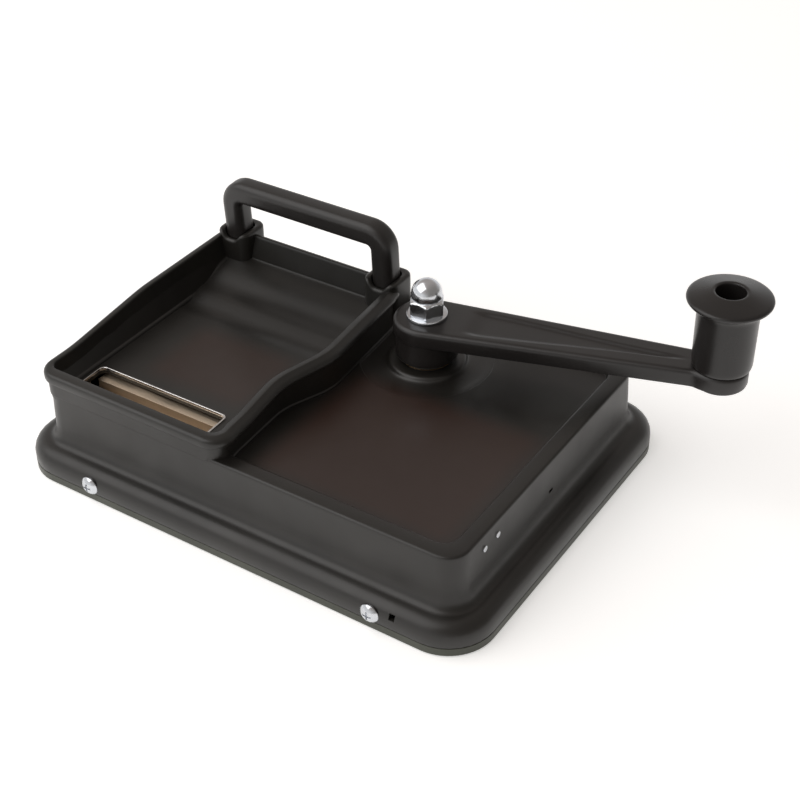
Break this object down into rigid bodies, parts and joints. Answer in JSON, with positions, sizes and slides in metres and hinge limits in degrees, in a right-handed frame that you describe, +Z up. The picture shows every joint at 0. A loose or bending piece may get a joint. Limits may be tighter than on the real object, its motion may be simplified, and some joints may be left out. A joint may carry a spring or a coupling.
{
  "type": "hand-cranked tube filling press",
  "caption": "Tabletop tube filling press: a hopper tray and carrying handle on a low base, with a horizontal crank that drives a spoon carriage and a packing bar.",
  "frame": {"origin": "centre of the base on the table plane, at the centre of the rubber mat's underside", "axes": "+X to the right along the long front side, +Y to the back, +Z up"},
  "size_m": [0.2541, 0.162, 0.0876],
  "materials": {
    "cover_plastic": "satin black moulded plastic with a fine grain",
    "tray_plastic": "satin black moulded plastic, smoother on the floor",
    "handle_plastic": "satin black moulded plastic",
    "arm_paint": "satin black paint",
    "knob_plastic": "semi-gloss black plastic",
    "base_paint": "satin greenish black paint",
    "rubber": "matt black rubber sheet",
    "bright_zinc": "bright plated steel",
    "polished_steel": "polished steel",
    "satin_steel": "brushed steel with a warm tint",
    "plain_steel": "plain machined steel",
    "dark_steel": "oiled dark steel",
    "bronze": "plain bearing bronze"
  },
  "bodies": {
    "housing": {"base_mat": "rubber", "base_plate": "base_paint", "top_cover": "cover_plastic", "side_screws": "bright_zinc", "end_pins": "bright_zinc", "hopper_tray": "tray_plastic", "slot_trim": "polished_steel", "carry_handle": "handle_plastic", "handle_screws": "bright_zinc", "lower_bush": "bronze", "upper_bush": "bronze", "shaft_washer": "dark_steel", "guide_rods": "polished_steel", "rod_brackets": "plain_steel", "bracket_screws": "bright_zinc", "chamber_bed": "satin_steel", "chamber_jaw": "satin_steel", "nozzle": "polished_steel", "nozzle_holder": "plain_steel", "guide_posts": "plain_steel"},
    "crank": {"crank_shaft": "plain_steel", "crank_arm": "arm_paint", "cap_nut": "bright_zinc", "cap_nut_washer": "bright_zinc", "drive_sector": "dark_steel", "sector_pin": "plain_steel", "retaining_clip": "plain_steel", "knob_spindle": "dark_steel"},
    "knob": {"knob": "knob_plastic"},
    "carriage": {"carriage": "plain_steel", "carriage_bushes": "bronze", "rack": "dark_steel", "rack_screws": "dark_steel", "cam_pin": "plain_steel", "spoon": "satin_steel", "push_rod": "polished_steel", "set_screw": "dark_steel"},
    "packer": {"packing_bar": "satin_steel", "slide_plate": "plain_steel", "plate_rivets": "plain_steel"}
  },
  "joints": [
    {"name": "crank_turn", "type": "hinge", "parent": "housing", "child": "crank", "pos_m": [0.02, 0.032, 0.05], "axis": [0, 0, 1], "range_deg": [-100.8, 0]},
    {"name": "knob_spin", "type": "hinge", "parent": "crank", "child": "knob", "pos_m": [0.13205, 0.06202, 0.07], "axis": [0, 0, 1], "continuous": true},
    {"name": "carriage_slide", "type": "slide", "parent": "housing", "child": "carriage", "axis": [-1, 0, 0], "range_m": [0, 0.066]},
    {"name": "packer_slide", "type": "slide", "parent": "housing", "child": "packer", "axis": [0, -1, 0], "range_m": [0, 0.00701]}
  ],
  "couplings": [
    {"joint": "carriage_slide", "follows": "crank_turn", "m_per_rad": -0.0375},
    {"joint": "packer_slide", "follows": "crank_turn", "m_per_rad": -0.0039789}
  ]
}
